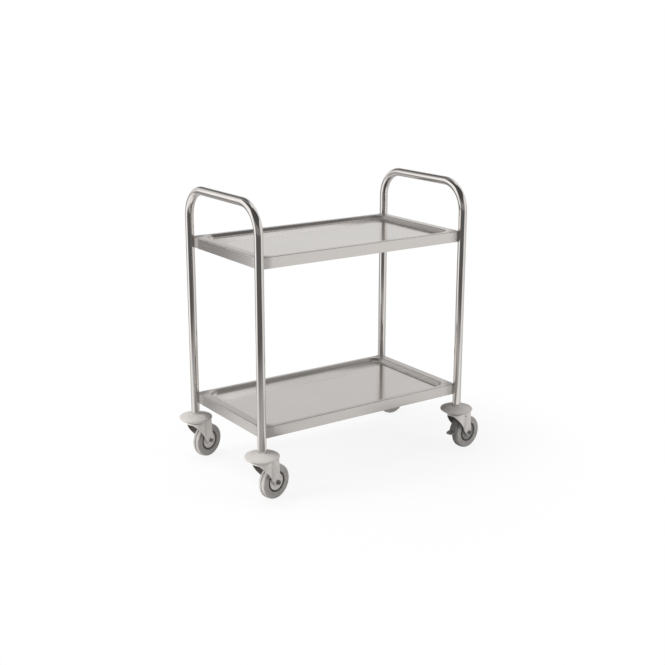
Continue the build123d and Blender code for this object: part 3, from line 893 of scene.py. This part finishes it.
# Grey tones that the steel mirrors, by angle from the viewer in degrees, positive to the viewer's right
under_tones = (
    (-180, 0.50),
    (-95, 0.45),
    (-88, 0.80),
    (-60, 0.80),
    (-45, 0.26),
    (20, 0.22),
    (29, 0.25),
    (34, 0.74),
    (60, 0.74),
    (70, 0.40),
    (100, 0.35),
    (180, 0.45),
)
near_tones = (
    (-180, 0.50),
    (-120, 0.50),
    (-100, 0.42),
    (-92, 0.78),
    (-62, 0.80),
    (-40, 0.36),
    (30, 0.36),
    (44, 0.45),
    (52, 0.78),
    (82, 0.76),
    (92, 0.50),
    (180, 0.50),
)
far_tones = (
    (-180, 0.30),
    (-120, 0.27),
    (-110, 0.27),
    (-105, 0.95),
    (-66, 0.95),
    (-58, 0.10),
    (46, 0.10),
    (58, 0.75),
    (78, 0.75),
    (95, 0.60),
    (130, 0.58),
    (160, 0.34),
    (180, 0.30),
)
backdrop_tones = (
    (-180, 0.72),
    (-150, 0.72),
    (-124, 0.62),
    (-117, 0.68),
    (-111, 1.00),
    (-66, 0.95),
    (-56, 0.22),
    (44, 0.22),
    (58, 0.75),
    (120, 0.75),
    (180, 0.72),
)
ceiling_tones = (
    (-180, 0.24),
    (-172, 0.10),
    (-150, 0.10),
    (-138, 0.24),
    (-124, 0.28),
    (-100, 0.08),
    (104, 0.06),
    (115, 0.75),
    (164, 0.75),
    (176, 0.24),
)

# Heights in metres where the backdrop rises from the floor and where it ends, by the same angle
backdrop_foot = (
    (-180, 0.85),
    (-152, 0.90),
    (-125, 0.60),
    (-110, 0.45),
    (-66, 0.40),
    (-58, 0.65),
    (46, 0.65),
    (58, 0.50),
    (100, 0.70),
    (180, 0.85),
)
backdrop_top = (
    (-180, 2.40),
    (-170, 2.15),
    (-160, 1.85),
    (-150, 1.80),
    (-134, 2.00),
    (-125, 2.85),
    (-117, 2.90),
    (-100, 3.00),
    (-64, 3.60),
    (-54, 1.90),
    (42, 1.90),
    (58, 2.80),
    (100, 2.80),
    (135, 1.90),
    (180, 2.40),
)


# Studio pieces
def empty_tree(holder):
    """The node tree of a material or a world, with nothing in it."""
    holder.use_nodes = True
    holder.node_tree.nodes.clear()
    return holder.node_tree


def light_kinds(tree):
    """Which kind of ray is asking: camera, glossy and transmission."""
    path = add_node(tree, "LightPath")
    return (path.outputs[name] for name in ("Is Camera Ray", "Is Glossy Ray", "Is Transmission Ray"))


def turn_round(tree, place):
    """A turn from 0 to 1 round the trolley, with 0.5 towards the viewer."""
    ahead = turned_towards(view_azimuth, 0)
    aside = turned_towards(view_azimuth + pi / 2, 0)
    towards = add_node(tree, "VectorMath", {0: place, 1: ahead}, operation="DOT_PRODUCT")
    across = add_node(tree, "VectorMath", {0: place, 1: aside}, operation="DOT_PRODUCT")
    angle = calculate(tree, "ARCTAN2", across.outputs["Value"], towards.outputs["Value"])
    return calculate(tree, "MULTIPLY_ADD", angle, 1 / tau, 0.5)


def tones_round(tree, turn, tones):
    """Grey tones by a turn from 0 to 1 round the trolley."""
    node = add_node(tree, "ValToRGB", {"Fac": turn})
    stops = node.color_ramp.elements
    while len(stops) < len(tones):
        stops.new(1.0)
    for stop, (degrees_round, tone) in zip(stops, tones):
        stop.position = degrees_round / 360 + 0.5
        stop.color = (tone, tone, tone, 1)
    return node.outputs["Color"]


def set_studio_air():
    """White for the eye, a ceiling in the steel, soft grey light for the rest."""
    world = bpy.data.worlds.new("studio")
    bpy.context.scene.world = world
    tree = empty_tree(world)
    to_eye, to_gloss, to_glass = light_kinds(tree)
    turn = turn_round(tree, add_node(tree, "TexCoord").outputs["Generated"])
    tones = tones_round(tree, turn, ceiling_tones)
    ceiling = add_node(tree, "Background", {"Color": tones, "Strength": mirrored_strength})
    shown = add_node(tree, "Background", {"Color": plain_white, "Strength": 1.0})
    soft = add_node(tree, "Background", {"Color": plain_white, "Strength": ambient_level})
    seen = calculate(tree, "MAXIMUM", to_eye, to_glass)
    mixed = add_node(tree, "MixShader", {0: to_gloss, 1: soft.outputs[0], 2: ceiling.outputs[0]})
    mixed = add_node(tree, "MixShader", {0: seen, 1: mixed.outputs[0], 2: shown.outputs[0]})
    add_node(tree, "OutputWorld", {"Surface": mixed.outputs[0]})


def studio_piece(shape, name, finish):
    """An object of the studio, made from a shape in a finish."""
    mesh = bpy.data.meshes.new(name)
    shape.to_mesh(mesh)
    shape.free()
    mesh.materials.append(finish)
    piece = bpy.data.objects.new(name, mesh)
    bpy.context.scene.collection.objects.link(piece)
    return piece


def backdrop_finish():
    """Paper that rises from the floor's far tones and ends softly under the ceiling."""
    material = bpy.data.materials.new("backdrop_paper")
    tree = empty_tree(material)
    place = add_node(tree, "TexCoord").outputs["Object"]
    turn = turn_round(tree, place)
    level = calculate(tree, "DIVIDE", heights(tree, place), backdrop_height)
    foot = tones_round(tree, turn, [(turned, rise / backdrop_height) for turned, rise in backdrop_foot])
    top = tones_round(tree, turn, [(turned, rise / backdrop_height) for turned, rise in backdrop_top])
    above_foot = calculate(tree, "SUBTRACT", level, foot)
    above_top = calculate(tree, "SUBTRACT", level, top)
    soft_foot = foot_softness / backdrop_height
    soft_top = top_softness / backdrop_height
    risen = ramp_between(tree, above_foot, -soft_foot, soft_foot)
    ended = ramp_between(tree, above_top, -soft_top, soft_top)
    pattern = blend_colours(
        tree, risen, tones_round(tree, turn, far_tones), tones_round(tree, turn, backdrop_tones)
    )
    pattern = blend_colours(tree, ended, pattern, tones_round(tree, turn, ceiling_tones))
    paper = add_node(tree, "Emission", {"Color": pattern, "Strength": mirrored_strength})
    add_node(tree, "OutputMaterial", {"Surface": paper.outputs[0]})
    return material


def hang_backdrop():
    """A paper backdrop round the trolley that only the steel sees."""
    shape = bmesh.new()
    ring = bmesh.ops.create_circle(shape, segments=96, radius=backdrop_radius)["verts"]
    lines = list({line for point in ring for line in point.link_edges})
    upper_edge = bmesh.ops.extrude_edge_only(shape, edges=lines)["geom"]
    points = [item for item in upper_edge if isinstance(item, bmesh.types.BMVert)]
    bmesh.ops.translate(shape, verts=points, vec=(0, 0, backdrop_height))
    backdrop = studio_piece(shape, "backdrop", backdrop_finish())
    backdrop.visible_camera = False
    backdrop.visible_diffuse = False
    backdrop.visible_transmission = False
    backdrop.visible_shadow = False


def paper_floor_finish():
    """White paper that keeps the shadow, and mirrors in the steel in its tones by angle and distance."""
    material = bpy.data.materials.new("paper_floor")
    tree = empty_tree(material)
    to_eye, to_gloss, to_glass = light_kinds(tree)
    place = add_node(tree, "TexCoord").outputs["Object"]
    turn = turn_round(tree, place)
    distance = add_node(tree, "VectorMath", {0: place}, operation="LENGTH").outputs["Value"]
    out = ramp_between(tree, distance, tones_under, tones_beside)
    pattern = blend_colours(
        tree, out, tones_round(tree, turn, under_tones), tones_round(tree, turn, near_tones)
    )
    away = ramp_between(tree, distance, tones_near, tones_far)
    pattern = blend_colours(tree, away, pattern, tones_round(tree, turn, far_tones))
    mirrored_paper = add_node(tree, "Emission", {"Color": pattern, "Strength": mirrored_strength})
    paper = add_node(tree, "BsdfDiffuse", {"Color": paper_colour})
    bright_paper = add_node(tree, "Emission", {"Color": plain_white, "Strength": 1.0})
    whiteness = ramp_between(tree, distance, paper_inner, paper_outer, near_whiteness, 1.0)
    whiteness = calculate(tree, "MULTIPLY", whiteness, to_eye)
    shown = add_node(tree, "MixShader", {0: whiteness, 1: paper.outputs[0], 2: bright_paper.outputs[0]})
    seen = calculate(tree, "MAXIMUM", to_gloss, to_glass)
    mixed = add_node(tree, "MixShader", {0: seen, 1: shown.outputs[0], 2: mirrored_paper.outputs[0]})
    add_node(tree, "OutputMaterial", {"Surface": mixed.outputs[0]})
    return material


def lay_paper_floor():
    """The floor that the wheels stand on."""
    shape = bmesh.new()
    bmesh.ops.create_grid(shape, x_segments=8, y_segments=8, size=floor_half)
    floor = studio_piece(shape, "paper_floor", paper_floor_finish())


def hang_softbox(name, azimuth, elevation, distance, size, power):
    """A square soft lamp that looks at the trolley's middle and doesn't show in the steel."""
    lamp = bpy.data.lights.new(name, "AREA")
    lamp.shape = "SQUARE"
    lamp.size = size
    lamp.energy = power
    box = bpy.data.objects.new(name, lamp)
    direction = turned_towards(radians(azimuth), radians(elevation))
    box.location = view_target + direction * distance
    box.rotation_euler = direction.to_track_quat("Z", "Y").to_euler()
    box.visible_glossy = False
    bpy.context.scene.collection.objects.link(box)


def place_camera():
    """The camera at the photograph's viewing angle."""
    lens = bpy.data.cameras.new("camera")
    lens.lens = view_lens
    lens.sensor_width = sensor_width
    camera = bpy.data.objects.new("camera", lens)
    direction = turned_towards(view_azimuth, view_elevation)
    camera.location = view_target + direction * view_distance
    turn = direction.to_track_quat("Z", "Y").to_matrix() @ Matrix.Rotation(view_roll, 3, "Z")
    camera.rotation_euler = turn.to_euler()
    bpy.context.scene.collection.objects.link(camera)
    bpy.context.scene.camera = camera


dress_cad_nodes()
make_detailed_pieces()
set_studio_air()
hang_backdrop()
lay_paper_floor()
hang_softbox("top_softbox", azimuth=0, elevation=88, distance=3.0, size=1.6, power=30)
hang_softbox("key_softbox", azimuth=-107, elevation=62, distance=3.0, size=1.2, power=48)
hang_softbox("left_softbox", azimuth=-100, elevation=16, distance=3.2, size=0.8, power=60)
hang_softbox("right_softbox", azimuth=40, elevation=9, distance=3.4, size=1.2, power=42)
place_camera()
bpy.context.scene.view_settings.view_transform = "Standard"
